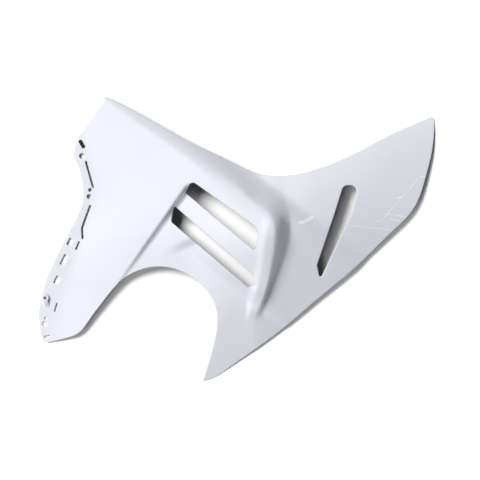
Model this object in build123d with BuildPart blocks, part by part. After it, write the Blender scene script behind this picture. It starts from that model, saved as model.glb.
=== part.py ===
"""Left side fairing panel of a sports motorcycle: one thin moulding and a rubber slot grommet.

The panel lies outer face up: +Z points out of the motorcycle, +X to the rear, +Y up the bike's side.
All sizes are in millimetres.
"""
import os
import numpy as np
from build123d import *

os.makedirs("parts", exist_ok=True)

# Shell
wall = 3.0
block_height = 150.0
sheet_clear = 400.0
sheet_fairness = (1.0, 0.2, 0.05)
sheet_tolerance = 0.05
sheet_along = ((-400.0, 16.0), (-161.0, 4.0), (-129.0, 16.0), (-4.0, 7.0), (128.0, 16.0), (284.0, 16.0))
sheet_across = ((-480.0, 16.0), (-196.0, 7.0), (-14.0, 4.0), (14.0, 16.0), (380.0, 16.0))

# Front sheet: a flat flange that leans up from its front edge to the fold line, then a rising sheet
knee_x = -283.0
knee_y = 98.0
knee_round = 30.0
fold_lean_low = 0.345
fold_lean_high = 0.28
flange_lap = 2.5
flange_tuck = 1.5
flange_tilt = 4.0
flange_room_depth = 30.0
flange_toe = -396.6
flange_low = -230.0
flange_high = 250.0
flange_front = -430.0
flange_points = 13
knee_fade = 0.8
front_slope = 0.32
front_slope_low = 0.18
front_turn = (-110.0, 30.0)
front_ease = 0.0002
front_ease_end = 400.0

# Rear sheet: two flats that meet in a soft crown, and the rounding of its ridge with the front sheet
crown_x = 20.0
crown_y = 55.0
crown_z = 121.0
crown_round = 50.0
tail_slope_x = 0.12
tail_round = 60.0
rear_slope_x = 0.25
rear_slope_y = 0.36
ridge_round = 4.0
ridge_low = 36.0
ridge_high = 60.0
ridge_grows_low = (-6.0, 24.0)
ridge_grows_back = (-290.0, -150.0)
ridge_grows_high = (5.0, 60.0)

# Fold along the spine and down the wing's upper edge
spine_tip = (-265.5, 279.0)
spine_root = (50.5, 51.0)
wing_tip = (394.5, 228.0)
spine_slope_tip = 0.85
spine_slope_root = 0.8
wing_slope = 0.5
fold_blend = 24.0
spine_round = 5.0
wing_round = 34.0
round_grows = (-100.0, 120.0)

# Louvre recess: a straight step, deepest at its upper end
step_top = (-93.5, 116.0)
step_end = (-223.5, -68.0)
step_depth = 23.0
step_width = 18.0
step_width_end = 8.0
step_taper = 0.85
step_corner = 0.15
recess_reach = 115.0
recess_lead = (-0.05, 0.05)
recess_land = (2.0, 20.0)

# Rim behind the louvres: edge line, foot of its rear flank, crest and foot of its front flank
rim_edge = ((34.5, 84.0), (60.5, 52.0), (73.0, 18.0), (73.0, 2.0), (67.5, -50.0), (60.0, -94.0),
            (48.0, -130.0), (36.0, -150.0), (25.0, -166.0))
rim_foot = ((96.0, 98.0), (106.0, 54.0), (109.0, 30.0), (107.0, 6.0), (88.0, -62.0), (75.0, -94.0),
            (63.0, -130.0), (60.0, -150.0), (58.0, -166.0))
rim_crest = ((20.0, 86.0), (47.0, 62.0), (61.0, 40.0), (57.0, 10.0), (52.5, -16.0), (48.5, -56.0),
             (40.0, -92.0), (31.5, -122.0), (21.5, -164.0))
rim_inner = ((38.5, -46.0), (31.5, -70.0), (25.5, -94.0), (21.5, -132.0), (19.5, -166.0))
rim_rise = ((0.0, 108.0), (16.0, 66.0), (37.0, 30.0), (40.0, 6.0), (29.0, -62.0), (10.0, -128.0),
            (4.0, -150.0), (0.0, -168.0))
rim_lift = 4.5
rim_lift_width = 15.0
rim_lift_fade = (20.0, 64.0)
rim_tilt = 0.06
rim_blend = 6.0
rim_fade = (-172.0, -140.0)
rim_fairing = 2.0
shelf_blend = (-22.0, 6.0)

# Swage that runs out of the lower louvre
swage_start = (-67.5, 7.0)
swage_end = (-153.5, -28.0)
swage_depth = 10.0
swage_reach = 60.0
swage_lip = (-8.0, 14.0)
swage_lead = (-18.0, -2.0)
swage_fade = (0.25, 1.05)

# Louvre slots and rear slot: corners in order, each with the radius of its rounding
upper_slot = ((-101.5, 91.7, 4.0), (-90.0, 115.9, 9.0), (43.0, 21.0, 20.0), (37.5, -24.5, 4.0))
lower_slot = ((-130.5, 34.3, 6.0), (-124.5, 66.3, 3.0), (34.0, -71.3, 3.0), (26.0, -98.8, 4.0))
rear_slot = ((212.8, 107.0, 12.0), (241.5, 107.0, 12.0), (230.1, 56.0, 80.0),
             (166.4, -81.0, 3.0), (160.2, -52.0, 12.0), (194.5, 48.4, 150.0))

# Front flange: screw holes (x, y, diameter)
ear_hole = (-309.5, 166.0, 11.0)
knee_hole_upper = (-293.5, 98.0, 7.0)
knee_hole_lower = (-295.5, 85.0, 9.0)
toe_hole_small = (-382.5, -159.0, 5.0)
toe_hole_large = (-384.5, -170.0, 9.0)

# Front flange: slits (start, end) and tongue slots (x, y, length)
slit_width = 3.8
long_slits = (((-301.5, 154.0), (-287.5, 104.0)), ((-293.5, 66.0), (-304.0, 37.0)),
              ((-304.0, 37.0), (-309.5, 21.0)), ((-309.5, 21.0), (-308.5, 2.0)))
short_slit_width = 3.0
short_slits = (((-315.5, -6.0), (-321.5, -20.0)), ((-360.0, -130.0), (-364.0, -144.0)),
               ((-384.0, -196.0), (-376.0, -194.0)))
tongue_slot_width = 9.0
tongue_slot_corner = 1.5
tongue_slots = ((-333.5, -6.0, 14.0), (-345.5, -42.0, 22.0), (-359.5, -82.0, 16.0))
tongue_lean = 62.8

# Raised boss at the foot of the flange, with its gusset
boss_x = -383.5
boss_y = -118.0
boss_diameter = 14.0
boss_height = 8.0
boss_bore = 6.0
gusset_width = 9.0
gusset_run = 19.0
gusset_height = 6.8
gusset_lean = -76.0

# Rubber grommet in the uppermost tongue slot
grommet_x = -310.0
grommet_y = 190.0
grommet_lean = -60.6
grommet_slot_length = 15.0
grommet_slot_width = 4.6
grommet_corner = 1.0
grommet_clearance = 0.15
grommet_foot = 0.3
grommet_lip = 1.4
grommet_lip_height = 1.2
grommet_seat_gap = 0.02
grommet_mouth_length = 9.0
grommet_mouth_width = 1.6


def ramp(s, width):
    """Half of s plus the length of (s, width): 0 far below zero, s far above it, rounded between."""
    return 0.5 * (s + np.sqrt(s * s + width * width))


def lower(a, b, width):
    """The lower of a and b, with the corner between them rounded over the width."""
    return 0.5 * (a + b - np.sqrt((a - b) ** 2 + width * width))


def ease(s, start, end):
    """Three t squared less two t cubed, where t runs from 0 at the start to 1 at the end."""
    t = np.clip((s - start) / (end - start), 0.0, 1.0)
    return t * t * (3.0 - 2.0 * t)


def beside(p, q, x, y):
    """Distance of (x, y) to the left of the line that runs from p to q."""
    length = np.hypot(q[0] - p[0], q[1] - p[1])
    return ((q[0] - p[0]) * (y - p[1]) - (q[1] - p[1]) * (x - p[0])) / length


def along(p, q, x, y):
    """Share of the way from p to q at which (x, y) stands."""
    length_squared = (q[0] - p[0]) ** 2 + (q[1] - p[1]) ** 2
    return ((q[0] - p[0]) * (x - p[0]) + (q[1] - p[1]) * (y - p[1])) / length_squared


def line_at(points, y):
    """First coordinate of the smooth cubic line through the points, at the height y of the second."""
    known = np.array(points[::-1])
    value = known[:, 0]
    place = known[:, 1]
    slope = np.gradient(value, place)
    held = np.clip(y, place[0], place[-1])
    i = np.clip(np.searchsorted(place, held) - 1, 0, len(place) - 2)
    span = place[i + 1] - place[i]
    t = (held - place[i]) / span
    start = value[i] * (1.0 + 2.0 * t) * (1.0 - t) ** 2 + slope[i] * span * t * (1.0 - t) ** 2
    end = value[i + 1] * t * t * (3.0 - 2.0 * t) + slope[i + 1] * span * t * t * (t - 1.0)
    return start + end


def fold_at(y, rounding=knee_round):
    """Place of the fold line: a line that leans forward both ways from the knee, rounded at the knee."""
    lean = np.where(y < knee_y, fold_lean_low, fold_lean_high)
    return knee_x - lean * (np.sqrt((y - knee_y) ** 2 + rounding ** 2) - rounding)


def flange_top(x):
    """Height of the leaning flange's upper side."""
    lean = np.radians(flange_tilt)
    return wall / np.cos(lean) + np.tan(lean) * (x - flange_toe)


def below_louvres(x, y):
    """Distance below the lower side of the lower louvre."""
    return -beside(lower_slot[0], lower_slot[3], x, y)


def front_height(x, y):
    """Flange height and eased slope times distance behind the fold, less the recess, with a lift to the rim."""
    d = x - fold_at(y, knee_round + knee_fade * np.maximum(x - knee_x, 0.0))
    eased = np.minimum(d, front_ease_end)
    slope = front_slope_low + (front_slope - front_slope_low) * ease(y, *front_turn)
    rise = slope * d - front_ease * eased * (np.abs(eased) + 2.0 * (d - eased))
    t = along(step_top, step_end, x, y)
    share = np.clip(t, 0.0, 1.0)
    into = -beside(step_end, step_top, x, y)
    depth = step_depth * ease(t, *recess_lead) * (1.0 - step_taper * share)
    width = step_width + (step_width_end - step_width) * share
    step = 1.0 - (1.0 - np.minimum(ramp(into / width, step_corner), 1.0)) ** 2
    recess = depth * step * np.exp(-((np.maximum(into, 0.0) / recess_reach) ** 2))
    recess = recess * ease(-beside(upper_slot[1], upper_slot[2], x, y), *recess_land)
    up = np.clip(1.0 + (x - line_at(rim_crest, y)) / rim_lift_width, 0.0, 2.0)
    lift = rim_lift * up * up * (1.0 - ease(y, *rim_lift_fade))
    return flange_top(x) + rise - recess + lift


def flats(x, y):
    """Two planes that meet in a soft crown, the rear one turning down more behind the rim."""
    tail = crown_z - tail_slope_x * (x - crown_x) - rear_slope_y * ramp(crown_y - y, crown_round)
    return tail - (rear_slope_x - tail_slope_x) * ramp(x - crown_x, tail_round)


def rear_height(x, y):
    """The flats and the rim on them: level with the front sheet at its crest, with a steep rear flank."""
    edge_x = line_at(rim_edge, y)
    foot_x = line_at(rim_foot, y)
    inner_x = line_at(rim_inner, y)
    crest_x = line_at(rim_crest, y)
    crest = lower(front_height(crest_x, y), flats(crest_x, y) + line_at(rim_rise, y), rim_blend)
    proud = ramp(crest - rim_tilt * (x - crest_x) - flats(x, y), rim_fairing)
    proud = proud * (1.0 - ease(x, edge_x, foot_x)) * ease(y, *rim_fade)
    front_flank = np.clip((x - inner_x) / np.maximum(crest_x - inner_x, 1.0), 0.0, 1.0)
    shelf = 1.0 - ease(below_louvres(x, y), *shelf_blend)
    return flats(x, y) + proud * np.maximum(front_flank, shelf)


def outer_height(x, y):
    """Height of the outer face: the lower of the two sheets, less the swage and the spine's fold."""
    below = below_louvres(x, y)
    high = ease(beside(spine_tip, spine_root, x, y), *ridge_grows_high)
    low = ease(below, *ridge_grows_low) * ease(x, *ridge_grows_back)
    ridge = ridge_round + (ridge_low - ridge_round) * low
    ridge = ridge + (ridge_high - ridge_round) * high
    sheet = lower(front_height(x, y), rear_height(x, y), ridge)
    into = beside(swage_start, swage_end, x, y)
    share = along(swage_start, swage_end, x, y)
    swage = swage_depth * ease(into, *swage_lip) * np.exp(-((np.maximum(into, 0.0) / swage_reach) ** 2))
    swage = swage * (1.0 - ease(share, *swage_fade)) * ease(below, *swage_lead)
    along_spine = np.clip(along(spine_tip, spine_root, x, y), 0.0, 1.0)
    spine_slope = spine_slope_tip + (spine_slope_root - spine_slope_tip) * along_spine
    over_spine = spine_slope * beside(spine_tip, spine_root, x, y)
    over_wing = wing_slope * beside(spine_root, wing_tip, x, y)
    round_off = spine_round + (wing_round - spine_round) * ease(x, *round_grows)
    return sheet - swage - ramp(lower(over_spine, over_wing, fold_blend), round_off)


def inner_height(x, y):
    """Outer height less the wall measured square to the sheet."""
    h = 0.5
    slope_x = (outer_height(x + h, y) - outer_height(x - h, y)) / (2.0 * h)
    slope_y = (outer_height(x, y + h) - outer_height(x, y - h)) / (2.0 * h)
    return outer_height(x, y) - wall * np.sqrt(1.0 + slope_x ** 2 + slope_y ** 2)


def grid_lines(bands):
    """Places of the grid lines: each band runs from its start to the next one's, at its own pitch."""
    runs = [np.arange(band[0], following[0], band[1]) for band, following in zip(bands, bands[1:])]
    return np.concatenate(runs)


def sheet_face(height):
    """Smooth face through a grid of points whose lines run along the spine and square to it."""
    spine_length = np.hypot(spine_root[0] - spine_tip[0], spine_root[1] - spine_tip[1])
    run_x = (spine_root[0] - spine_tip[0]) / spine_length
    run_y = (spine_root[1] - spine_tip[1]) / spine_length
    grid_u, grid_v = np.meshgrid(grid_lines(sheet_along), grid_lines(sheet_across), indexing="ij")
    grid_x = spine_root[0] + grid_u * run_x - grid_v * run_y
    grid_y = spine_root[1] + grid_u * run_y + grid_v * run_x
    points = np.stack([grid_x, grid_y, height(grid_x, grid_y)], axis=-1).tolist()
    rows = [[Vector(*point) for point in row] for row in points]
    return Face.make_surface_from_array_of_points(rows, sheet_tolerance, sheet_fairness, 3, 5)


def rounded_slot(corners):
    """Closed outline through the corners, each rounded to its own radius."""
    points = [corner[:2] for corner in corners]
    with BuildSketch(mode=Mode.PRIVATE) as slot:
        with BuildLine():
            Polyline(*points, close=True)
        make_face()
        for x, y, radius in corners:
            fillet(slot.vertices().sort_by_distance((x, y, 0.0))[0], radius)
    return slot.sketch


def slit(start, end, width):
    """Round-ended slit about the line from start to end."""
    middle = ((start[0] + end[0]) / 2.0, (start[1] + end[1]) / 2.0, 0.0)
    length = np.hypot(end[0] - start[0], end[1] - start[1])
    lean = np.degrees(np.arctan2(end[1] - start[1], end[0] - start[0]))
    with Locations(Location(middle, (0.0, 0.0, float(lean)))):
        SlotOverall(float(length) + width, width, mode=Mode.SUBTRACT)


# Plan of the whole panel, with the louvres and the rear slot left open
with BuildSketch() as plan:
    with BuildLine():
        Spline((-259.5, 284.0), (-239.5, 274.6), (-165.5, 234.0), (-75.5, 185.0), (-9.5, 154.0),
               (38.5, 132.0), (80.5, 125.6), (126.5, 130.6), (226.5, 166.6), (302.5, 206.0),
               (344.5, 225.5), (386.0, 243.4))
        ThreePointArc((386.0, 243.4), (393.5, 243.8), (397.0, 236.5))
        Spline((397.0, 236.5), (391.0, 176.0), (378.5, 125.0), (352.5, 58.6), (314.5, 18.0),
               (240.5, -54.0), (161.3, -120.6), (76.5, -192.0), (16.5, -235.2), (-35.5, -273.0))
        ThreePointArc((-35.5, -273.0), (-52.0, -281.3), (-68.5, -284.4))
        Spline((-68.5, -284.4), (-54.7, -240.0), (-45.5, -205.4), (-39.9, -168.6), (-41.5, -142.0),
               (-61.5, -102.0), (-107.5, -65.4), (-153.5, -55.0), (-193.5, -62.0), (-219.1, -74.4),
               (-268.1, -126.4), (-295.5, -163.2), (-315.5, -187.6), (-341.5, -198.4), (-372.3, -206.0))
        ThreePointArc((-372.3, -206.0), (-386.0, -204.0), (-392.5, -193.0))
        Spline((-392.5, -193.0), (-396.4, -164.0), (-395.0, -126.0), (-386.0, -94.0), (-353.0, -18.0),
               (-318.5, 48.0), (-308.5, 78.0), (-308.5, 106.0), (-315.0, 138.0), (-322.5, 155.0))
        ThreePointArc((-322.5, 155.0), (-326.5, 166.0), (-325.0, 180.0))
        Spline((-325.0, 180.0), (-322.5, 192.0), (-316.0, 206.0))
        Line((-316.0, 206.0), (-264.5, 277.0))
        ThreePointArc((-264.5, 277.0), (-264.4, 282.6), (-259.5, 284.0))
    make_face()
    add(rounded_slot(upper_slot), mode=Mode.SUBTRACT)
    add(rounded_slot(lower_slot), mode=Mode.SUBTRACT)
    add(rounded_slot(rear_slot), mode=Mode.SUBTRACT)

# Plan of the pressed sheet behind the fold line, which tucks a little under the flange
flange_heights = np.linspace(flange_low, flange_high, flange_points).tolist()
sheet_front = [(float(fold_at(y)) - flange_tuck, y) for y in flange_heights]
with BuildSketch() as sheet_plan:
    add(plan.sketch)
    with BuildLine():
        Spline(*sheet_front)
        Polyline(sheet_front[-1], (flange_front, flange_high), (flange_front, flange_low), sheet_front[0])
    make_face(mode=Mode.SUBTRACT)

# Flat flange in front of the fold line, with its holes, slits and tongue slots
flange_back = [(float(fold_at(y)) + flange_lap, y) for y in flange_heights]
with BuildSketch() as flange_strip:
    with BuildLine():
        Spline(*flange_back)
        Polyline(flange_back[-1], (flange_front, flange_high), (flange_front, flange_low), flange_back[0])
    make_face()
with BuildSketch() as flange:
    add(flange_strip.sketch)
    add(plan.sketch, mode=Mode.INTERSECT)
    for x, y, diameter in (ear_hole, knee_hole_upper, knee_hole_lower, toe_hole_small, toe_hole_large):
        with Locations((x, y)):
            Circle(diameter / 2.0, mode=Mode.SUBTRACT)
    with Locations((boss_x, boss_y)):
        Circle(boss_bore / 2.0, mode=Mode.SUBTRACT)
    for start, end in long_slits:
        slit(start, end, slit_width)
    for start, end in short_slits:
        slit(start, end, short_slit_width)
    for x, y, length in tongue_slots:
        with Locations(Location((x, y, 0.0), (0.0, 0.0, tongue_lean))):
            RectangleRounded(length, tongue_slot_width, tongue_slot_corner, mode=Mode.SUBTRACT)
    with Locations(Location((grommet_x, grommet_y, 0.0), (0.0, 0.0, grommet_lean))):
        RectangleRounded(grommet_slot_length, grommet_slot_width, grommet_corner, mode=Mode.SUBTRACT)

gusset_run_dir = Vector(1, 0, 0).rotate(Axis.Z, gusset_lean)
gusset_side_dir = Vector(0, 1, 0).rotate(Axis.Z, gusset_lean)
with BuildPart() as flange_plate:
    add(flange.sketch)
    extrude(amount=wall)
    with BuildSketch(Plane.XY.offset(wall)):
        with Locations((boss_x, boss_y)):
            Circle(boss_diameter / 2.0)
    extrude(amount=boss_height)
    with BuildSketch(Plane(origin=(boss_x, boss_y, wall), x_dir=gusset_run_dir, z_dir=gusset_side_dir)):
        with BuildLine():
            Polyline((0.0, 0.0), (gusset_run, 0.0), (boss_diameter / 2.0, -gusset_height),
                     (0.0, -gusset_height), close=True)
        make_face()
    extrude(amount=gusset_width / 2.0, both=True)
    with BuildSketch(Plane.XY):
        with Locations((boss_x, boss_y)):
            Circle(boss_bore / 2.0)
    extrude(amount=wall + boss_height, mode=Mode.SUBTRACT)
flange_hinge = Axis((flange_toe, 0, 0), (0, 1, 0))
leaning_flange = flange_plate.part.rotate(flange_hinge, -flange_tilt)

# Room below the flange, kept clear for the panel that lies against it
with BuildPart() as flange_room:
    add(flange_strip.sketch)
    extrude(amount=-flange_room_depth)
leaning_room = flange_room.part.rotate(flange_hinge, -flange_tilt)

outer_face = sheet_face(outer_height)
inner_face = sheet_face(inner_height)
with BuildPart() as fairing_panel:
    with BuildSketch(Plane.XY):
        add(sheet_plan.sketch)
    extrude(amount=block_height)
    extrude(outer_face, amount=sheet_clear, dir=(0, 0, 1), mode=Mode.SUBTRACT)
    extrude(inner_face, amount=sheet_clear, dir=(0, 0, -1), mode=Mode.SUBTRACT)
    add(leaning_room, mode=Mode.SUBTRACT)
    add(leaning_flange)
fairing_panel.part.label = "fairing_panel"
export_step(fairing_panel.part, "parts/fairing_panel.step")

with BuildPart() as slot_grommet:
    with BuildSketch(Plane.XY.offset(grommet_foot)):
        with Locations(Location((grommet_x, grommet_y, 0.0), (0.0, 0.0, grommet_lean))):
            RectangleRounded(grommet_slot_length - 2.0 * grommet_clearance,
                             grommet_slot_width - 2.0 * grommet_clearance, grommet_corner - grommet_clearance)
    extrude(amount=wall + grommet_seat_gap - grommet_foot)
    with BuildSketch(Plane.XY.offset(wall + grommet_seat_gap)):
        with Locations(Location((grommet_x, grommet_y, 0.0), (0.0, 0.0, grommet_lean))):
            RectangleRounded(grommet_slot_length + 2.0 * grommet_lip, grommet_slot_width + 2.0 * grommet_lip,
                             grommet_corner + grommet_lip)
    extrude(amount=grommet_lip_height)
    fillet(slot_grommet.faces().sort_by(Axis.Z)[-1].edges(), 0.4 * grommet_lip_height)
    with BuildSketch(Plane.XY):
        with Locations(Location((grommet_x, grommet_y, 0.0), (0.0, 0.0, grommet_lean))):
            SlotOverall(grommet_mouth_length, grommet_mouth_width)
    extrude(amount=wall + 2.0 * grommet_lip_height, mode=Mode.SUBTRACT)
leaning_grommet = slot_grommet.part.rotate(flange_hinge, -flange_tilt)
leaning_grommet.label = "slot_grommet"
export_step(leaning_grommet, "parts/slot_grommet.step")
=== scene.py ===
# %% [markdown]
# # The left side fairing panel of a sports motorcycle
# The panel is one thin plastic moulding, painted gloss white on its outer face. It lies on a white floor with
# that face up, and the camera looks straight down on it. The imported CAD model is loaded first: it fixes the
# size and the place of everything, and the pieces made here stand in for its two solids.

# %% The frame
import bpy
import numpy as np
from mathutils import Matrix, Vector, geometry


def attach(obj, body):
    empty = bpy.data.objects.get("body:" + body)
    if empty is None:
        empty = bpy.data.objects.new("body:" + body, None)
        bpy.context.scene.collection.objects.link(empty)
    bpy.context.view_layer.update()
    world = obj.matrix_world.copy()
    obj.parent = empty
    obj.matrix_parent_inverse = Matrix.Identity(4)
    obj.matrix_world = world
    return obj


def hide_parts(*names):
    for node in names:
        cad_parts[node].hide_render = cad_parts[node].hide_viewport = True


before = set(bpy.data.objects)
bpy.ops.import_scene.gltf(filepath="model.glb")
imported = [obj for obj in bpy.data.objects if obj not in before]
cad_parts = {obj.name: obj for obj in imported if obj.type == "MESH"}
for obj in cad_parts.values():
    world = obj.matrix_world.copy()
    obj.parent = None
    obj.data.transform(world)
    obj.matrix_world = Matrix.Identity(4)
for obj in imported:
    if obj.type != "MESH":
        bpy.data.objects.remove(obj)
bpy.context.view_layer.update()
METRE = 0.001

# %% [markdown]
# ## The outline
# Seen from above, the panel has a long spine to the front, a wing to the rear, a tail below and a round
# cut-out for the engine. A few points carry each stretch of that edge, and a smooth cubic runs through them,
# which is how a draughtsman lays a flexible batten. Tight tips are arcs, because a batten would kink there.

# %% Lines through points
EDGE_STEP = 2.5


def unit(v):
    """Each row divided by its length."""
    return v / np.linalg.norm(v, axis=-1, keepdims=True)


def batten(points, step=EDGE_STEP):
    """Cubic through the points, with chord length as its parameter and no bend at its two ends."""
    p = np.array(points, float)
    place = np.concatenate([[0.0], np.cumsum(np.linalg.norm(np.diff(p, axis=0), axis=1))])
    gap = np.diff(place)
    inner = np.arange(1, len(p) - 1)
    system = np.eye(len(p))
    system[inner, inner - 1] = gap[:-1]
    system[inner, inner] = 2.0 * (gap[:-1] + gap[1:])
    system[inner, inner + 1] = gap[1:]
    pull = np.zeros_like(p)
    pull[1:-1] = 6.0 * np.diff(np.diff(p, axis=0) / gap[:, None], axis=0)
    bend = np.linalg.solve(system, pull)
    t = np.linspace(0.0, place[-1], max(2, round(place[-1] / step)) + 1)
    i = np.clip(np.searchsorted(place, t) - 1, 0, len(gap) - 1)
    h = gap[i][:, None]
    ahead = (place[i + 1] - t)[:, None]
    passed = (t - place[i])[:, None]
    curved = (bend[i] * ahead ** 3 + bend[i + 1] * passed ** 3) / (6.0 * h)
    return curved + (p[i] / h - bend[i] * h / 6.0) * ahead + (p[i + 1] / h - bend[i + 1] * h / 6.0) * passed


def arc(start, via, end, count=15):
    """Even angles of the circle through three points, from the first by way of the second to the third."""
    p = np.array([start, via, end], float)
    sides = 2.0 * (p[1:] - p[0])
    centre = np.linalg.solve(sides, (p[1:] ** 2).sum(1) - (p[0] ** 2).sum())
    radius = np.linalg.norm(p[0] - centre)
    angle = np.unwrap(np.arctan2(p[:, 1] - centre[1], p[:, 0] - centre[0]))
    a = np.linspace(angle[0], angle[2], count)
    return centre + radius * np.stack([np.cos(a), np.sin(a)], axis=-1)


def joined(*runs):
    """The runs one after another as a closed loop, each without its last point."""
    return np.concatenate([run[:-1] for run in runs])


# %% The panel's edge
SPINE_END = (-259.5, 284.0)
WING_TOP, WING_VIA, WING_SIDE = (386.0, 243.4), (393.5, 243.8), (397.0, 236.5)
TAIL_SIDE, TAIL_VIA, TAIL_END = (-35.5, -273.0), (-52.0, -281.3), (-68.5, -284.4)
TOE_BACK, TOE_VIA, TOE_FRONT = (-372.3, -206.0), (-386.0, -204.0), (-392.5, -193.0)
EAR_LOW, EAR_VIA, EAR_HIGH = (-322.5, 155.0), (-326.5, 166.0), (-325.0, 180.0)
SPINE_SIDE, SPINE_VIA = (-264.5, 277.0), (-264.4, 282.6)
edge = joined(
    batten([SPINE_END, (-239.5, 274.6), (-165.5, 234.0), (-75.5, 185.0), (-9.5, 154.0), (38.5, 132.0),
            (80.5, 125.6), (126.5, 130.6), (226.5, 166.6), (302.5, 206.0), (344.5, 225.5), WING_TOP]),
    arc(WING_TOP, WING_VIA, WING_SIDE),
    batten([WING_SIDE, (391.0, 176.0), (378.5, 125.0), (352.5, 58.6), (314.5, 18.0), (240.5, -54.0),
            (161.3, -120.6), (76.5, -192.0), (16.5, -235.2), TAIL_SIDE]),
    arc(TAIL_SIDE, TAIL_VIA, TAIL_END),
    batten([TAIL_END, (-54.7, -240.0), (-45.5, -205.4), (-39.9, -168.6), (-41.5, -142.0), (-61.5, -102.0),
            (-107.5, -65.4), (-153.5, -55.0), (-193.5, -62.0), (-219.1, -74.4), (-268.1, -126.4),
            (-295.5, -163.2), (-315.5, -187.6), (-341.5, -198.4), TOE_BACK]),
    arc(TOE_BACK, TOE_VIA, TOE_FRONT),
    batten([TOE_FRONT, (-396.4, -164.0), (-395.0, -126.0), (-386.0, -94.0), (-353.0, -18.0), (-318.5, 48.0),
            (-308.5, 78.0), (-308.5, 106.0), (-315.0, 138.0), EAR_LOW]),
    arc(EAR_LOW, EAR_VIA, EAR_HIGH),
    batten([EAR_HIGH, (-322.5, 192.0), (-316.0, 206.0)]),
    batten([(-316.0, 206.0), SPINE_SIDE]),
    arc(SPINE_SIDE, SPINE_VIA, SPINE_END))
print("edge", len(edge), "points")

# %% [markdown]
# ## The openings
# Two louvres and a slot in the wing let air through. The flat flange along the front edge has screw holes,
# thin slits and slots for the tongues of the next cowl. They are loops of straight sides and arcs, so each
# is worked out from its corners, from a centre line or from a circle.

# %% Loops of the openings
CORNER_STEPS = 9


def divided(loop, step=EDGE_STEP):
    """The closed loop, with even points added on each side that is longer than the step."""
    side = np.roll(loop, -1, axis=0) - loop
    parts = np.maximum(1, np.ceil(np.linalg.norm(side, axis=1) / step).astype(int))
    owner = np.repeat(np.arange(len(loop)), parts)
    share = (np.arange(len(owner)) - (np.cumsum(parts) - parts)[owner]) / parts[owner]
    return loop[owner] + share[:, None] * side[owner]


def rounded(corners):
    """Straight sides between the corners, and at each corner an arc of its radius that touches both sides."""
    c = np.array(corners, float)
    p, radius = c[:, :2], c[:, 2]
    back, on = unit(np.roll(p, 1, axis=0) - p), unit(np.roll(p, -1, axis=0) - p)
    half = 0.5 * np.arccos((back * on).sum(1))
    centre = p + unit(back + on) * (radius / np.sin(half))[:, None]
    first = p + back * (radius / np.tan(half))[:, None] - centre
    last = p + on * (radius / np.tan(half))[:, None] - centre
    start = np.arctan2(first[:, 1], first[:, 0])
    sweep = (np.arctan2(last[:, 1], last[:, 0]) - start + np.pi) % (2.0 * np.pi) - np.pi
    a = start[:, None] + sweep[:, None] * np.linspace(0.0, 1.0, CORNER_STEPS)
    arcs = centre[:, None] + radius[:, None, None] * np.stack([np.cos(a), np.sin(a)], axis=-1)
    return divided(arcs.reshape(-1, 2))


def turned_box(x, y, length, width, corner, lean):
    """Rounded rectangle about (x, y), turned by lean degrees."""
    s = np.array([(-0.5, -0.5), (0.5, -0.5), (0.5, 0.5), (-0.5, 0.5)]) * (length, width)
    a = np.radians(lean)
    x_new = x + s[:, 0] * np.cos(a) - s[:, 1] * np.sin(a)
    y_new = y + s[:, 0] * np.sin(a) + s[:, 1] * np.cos(a)
    return rounded(np.stack([x_new, y_new, np.full(4, corner)], axis=-1))


def round_hole(x, y, diameter, count=40):
    """Even points of a circle."""
    a = np.linspace(0.0, 2.0 * np.pi, count, endpoint=False)
    return np.array([x, y]) + 0.5 * diameter * np.stack([np.cos(a), np.sin(a)], axis=-1)


def slit(points, width):
    """Both sides of a bent line at half the width, closed by a half circle about each end."""
    p = np.array(points, float)
    run = unit(np.diff(p, axis=0))
    run = np.concatenate([run[:1], unit(run[:-1] + run[1:]), run[-1:]])
    side = 0.5 * width * np.stack([-run[:, 1], run[:, 0]], axis=-1)
    a = np.linspace(0.0, np.pi, 11)[1:-1, None]
    far = p[-1] + np.cos(a) * side[-1] + np.sin(a) * 0.5 * width * run[-1]
    near = p[0] - np.cos(a) * side[0] - np.sin(a) * 0.5 * width * run[0]
    return divided(np.concatenate([p + side, far, (p - side)[::-1], near]))


UPPER_LOUVRE = ((-101.5, 91.7, 4.0), (-90.0, 115.9, 9.0), (43.0, 21.0, 20.0), (37.5, -24.5, 4.0))
LOWER_LOUVRE = ((-130.5, 34.3, 6.0), (-124.5, 66.3, 3.0), (34.0, -71.3, 3.0), (26.0, -98.8, 4.0))
WING_SLOT = ((212.8, 107.0, 12.0), (241.5, 107.0, 12.0), (230.1, 56.0, 80.0), (166.4, -81.0, 3.0),
             (160.2, -52.0, 12.0), (194.5, 48.4, 150.0))
SCREW_HOLES = ((-309.5, 166.0, 11.0), (-293.5, 98.0, 7.0), (-295.5, 85.0, 9.0), (-382.5, -159.0, 5.0),
               (-384.5, -170.0, 9.0))
LONG_SLIT, SHORT_SLIT = 3.8, 3.0
LONG_SLITS = (((-301.5, 154.0), (-287.5, 104.0)),
              ((-293.5, 66.0), (-304.0, 37.0), (-305.5, 33.0), (-309.5, 21.0), (-308.5, 2.0)))
SHORT_SLITS = (((-315.5, -6.0), (-321.5, -20.0)), ((-360.0, -130.0), (-364.0, -144.0)),
               ((-384.0, -196.0), (-376.0, -194.0)))
TONGUE_SLOTS = ((-333.5, -6.0, 14.0), (-345.5, -42.0, 22.0), (-359.5, -82.0, 16.0))
TONGUE_WIDTH, TONGUE_CORNER, TONGUE_LEAN = 9.0, 1.5, 62.8
GROMMET_X, GROMMET_Y, GROMMET_LEAN = -310.0, 190.0, -60.6
GROMMET_LENGTH, GROMMET_WIDTH, GROMMET_CORNER = 15.0, 4.6, 1.0
BOSS_X, BOSS_Y, BOSS_BORE = -383.5, -118.0, 6.0
holes = [rounded(UPPER_LOUVRE), rounded(LOWER_LOUVRE), rounded(WING_SLOT)]
holes += [round_hole(*hole) for hole in SCREW_HOLES + ((BOSS_X, BOSS_Y, BOSS_BORE),)]
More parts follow.
